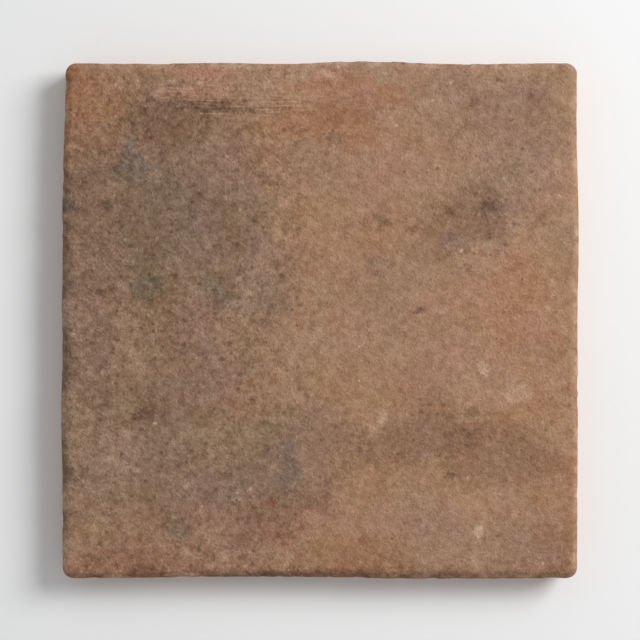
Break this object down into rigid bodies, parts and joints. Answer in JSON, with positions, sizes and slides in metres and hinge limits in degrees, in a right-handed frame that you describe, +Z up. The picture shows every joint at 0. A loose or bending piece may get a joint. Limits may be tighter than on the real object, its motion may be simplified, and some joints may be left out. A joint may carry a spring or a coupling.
{
  "type": "terracotta floor tile",
  "caption": "Square unglazed terracotta floor tile with a wavering hand-made edge, a round arris and a keyed back that grips its bedding.",
  "frame": {"origin": "middle of the underside, at the level of the ribs that the tile lies on", "axes": "+Z up out of the wear face, +X to the right and +Y to the top of the face as the picture shows it"},
  "size_m": [0.15, 0.15, 0.012],
  "materials": {
    "fired_clay": "matt, unglazed and smoke-marked"
  },
  "bodies": {
    "root": {"floor_tile": "fired_clay"}
  },
  "joints": []
}
